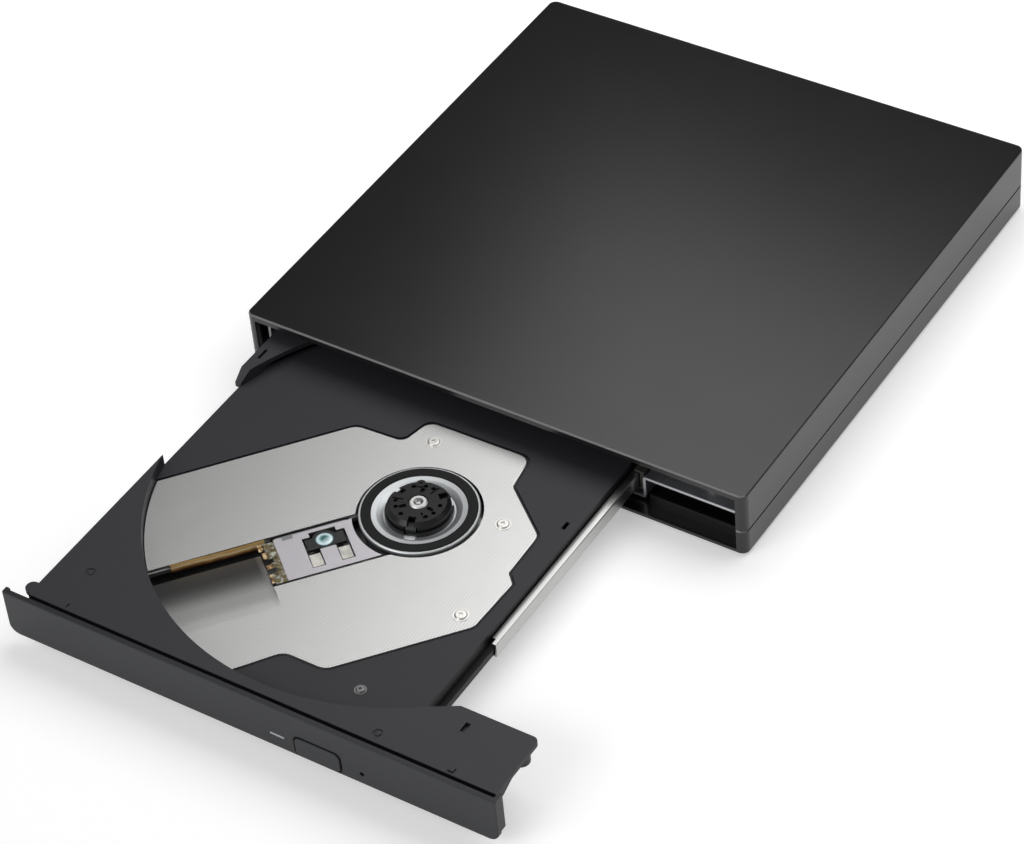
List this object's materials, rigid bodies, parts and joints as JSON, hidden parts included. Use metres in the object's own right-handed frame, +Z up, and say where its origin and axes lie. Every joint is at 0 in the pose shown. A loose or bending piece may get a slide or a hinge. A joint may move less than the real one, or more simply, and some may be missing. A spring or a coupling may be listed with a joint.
{
  "type": "external optical disc drive",
  "caption": "Slim external disc drive: a flat black case with its tray slid out on telescopic rails, showing the turntable, the pickup in its slot and the front bezel with an eject button",
  "frame": {"origin": "centre of the flat face of the shallow recess in the middle of the case's underside", "axes": "+Z up, out of that face's back through the case; the tray opens towards -Y; +X to the right as seen from the front"},
  "size_m": [0.1356, 0.2386, 0.0188],
  "materials": {
    "case_plastic": "fine satin black",
    "foot_rubber": "matte",
    "chassis_steel": "zinc plated sheet",
    "rail_steel": "bright rolled",
    "screw_steel": "plated",
    "dark_screw": "black oxide",
    "guide_plastic": "smooth",
    "tray_plastic": "fine grained",
    "bezel_plastic": "satin",
    "plate_steel": "silver grey, fine pattern",
    "frame_steel": "pressed sheet",
    "motor_steel": "turned",
    "copper_wound": "enamelled windings",
    "table_metal": "turned",
    "grip_rubber": "matte",
    "hub_plastic": "smooth",
    "claw_plastic": "smooth",
    "pickup_metal": "cast",
    "pickup_sheet": "bright sheet",
    "pickup_magnet": "pale",
    "pickup_leads": "brass and clear resin",
    "flex_gold": "polyimide",
    "lens_glass": "coated",
    "lens_plastic": "smooth",
    "clear_plastic": "clear",
    "board_green": "solder resist",
    "chip_black": "moulded",
    "connector_black": "moulded",
    "socket_steel": "plated",
    "bush_rubber": "soft"
  },
  "bodies": {
    "case": {"upper_shell": "case_plastic", "lower_shell": "case_plastic", "rubber_feet": "foot_rubber", "shell_screws": "dark_screw", "chassis_pan": "chassis_steel", "chassis_cover": "chassis_steel", "chassis_screws": "screw_steel", "left_guide": "guide_plastic", "right_guide": "guide_plastic", "drive_connector": "connector_black", "board_connector": "connector_black", "bridge_board": "board_green", "bridge_parts": "chip_black", "usb_socket": "socket_steel", "dc_jack": "connector_black", "main_board": "board_green", "main_chips": "chip_black", "flex_cable": "flex_gold", "latch_pin": "screw_steel"},
    "tray": {"tray_frame": "tray_plastic", "front_bezel": "bezel_plastic", "light_pipe": "clear_plastic", "tray_board": "board_green", "eject_switch": "connector_black", "base_plate": "chassis_steel", "base_screws": "screw_steel", "plate_posts": "tray_plastic", "cover_plate": "plate_steel", "plate_screws": "screw_steel", "tray_screw": "screw_steel", "pickup_flex": "flex_gold", "traverse_frame": "frame_steel", "damper_bushes": "bush_rubber", "guide_rods": "rail_steel", "sled_motor": "motor_steel", "motor_base": "motor_steel", "motor_stator": "copper_wound", "latch_solenoid": "motor_steel", "side_bumper": "grip_rubber"},
    "left_rail": {"left_rail": "rail_steel"},
    "right_rail": {"right_rail": "rail_steel"},
    "spindle": {"turntable": "table_metal", "rubber_ring": "grip_rubber", "hub": "hub_plastic", "hub_cap": "table_metal"},
    "claw_1": {"hub_claw_1": "claw_plastic"},
    "claw_2": {"hub_claw_2": "claw_plastic"},
    "claw_3": {"hub_claw_3": "claw_plastic"},
    "pickup": {"pickup_block": "pickup_metal", "pickup_cover": "pickup_sheet", "pickup_magnets": "pickup_magnet", "pickup_tail": "pickup_leads"},
    "lens": {"lens_holder": "lens_plastic", "objective_lens": "lens_glass"},
    "lead_screw": {"lead_screw": "screw_steel"},
    "eject_button": {"eject_button": "bezel_plastic"},
    "latch_lever": {"latch_lever": "connector_black"}
  },
  "joints": [
    {"name": "tray_slide", "type": "slide", "parent": "case", "child": "tray", "axis": [0, -1, 0], "range_m": [-0.0989, 0.028]},
    {"name": "left_rail_slide", "type": "slide", "parent": "case", "child": "left_rail", "axis": [0, -1, 0], "range_m": [-0.0608, 0.0172]},
    {"name": "right_rail_slide", "type": "slide", "parent": "case", "child": "right_rail", "axis": [0, -1, 0], "range_m": [-0.0608, 0.0172]},
    {"name": "spindle_spin", "type": "hinge", "parent": "tray", "child": "spindle", "pos_m": [0.0012, -0.1005, 0.0075], "axis": [0, 0, 1], "continuous": true},
    {"name": "pickup_slide", "type": "slide", "parent": "tray", "child": "pickup", "axis": [-0.6428, -0.766, 0], "range_m": [0, 0.0352]},
    {"name": "lead_screw_spin", "type": "hinge", "parent": "tray", "child": "lead_screw", "pos_m": [-0.00154, -0.13737, 0.0055], "axis": [-0.6428, -0.766, 0], "range_deg": [0, 4230]},
    {"name": "lens_focus", "type": "slide", "parent": "pickup", "child": "lens", "axis": [0, 0, 1], "range_m": [-0.0003, 0.0003], "stiffness_N_per_m": 20},
    {"name": "eject_press", "type": "slide", "parent": "tray", "child": "eject_button", "axis": [0, 1, 0], "range_m": [0, 0.0008], "stiffness_N_per_m": 400},
    {"name": "latch_turn", "type": "hinge", "parent": "tray", "child": "latch_lever", "pos_m": [0.0495, -0.1623, 0.0102], "axis": [0, 0, -1], "range_deg": [0, 16], "stiffness_Nm_per_rad": 0.002},
    {"name": "claw_1_press", "type": "slide", "parent": "spindle", "child": "claw_1", "axis": [-0.309, 0.9511, 0], "range_m": [0, 0.0004], "stiffness_N_per_m": 800},
    {"name": "claw_2_press", "type": "slide", "parent": "spindle", "child": "claw_2", "axis": [-0.6691, -0.7431, 0], "range_m": [0, 0.0004], "stiffness_N_per_m": 800},
    {"name": "claw_3_press", "type": "slide", "parent": "spindle", "child": "claw_3", "axis": [0.9781, -0.2079, 0], "range_m": [0, 0.0004], "stiffness_N_per_m": 800}
  ],
  "couplings": [
    {"joint": "left_rail_slide", "follows": "tray_slide", "ratio": 0.614},
    {"joint": "right_rail_slide", "follows": "tray_slide", "ratio": 0.614},
    {"joint": "lead_screw_spin", "follows": "pickup_slide", "rad_per_m": 2094.4}
  ]
}
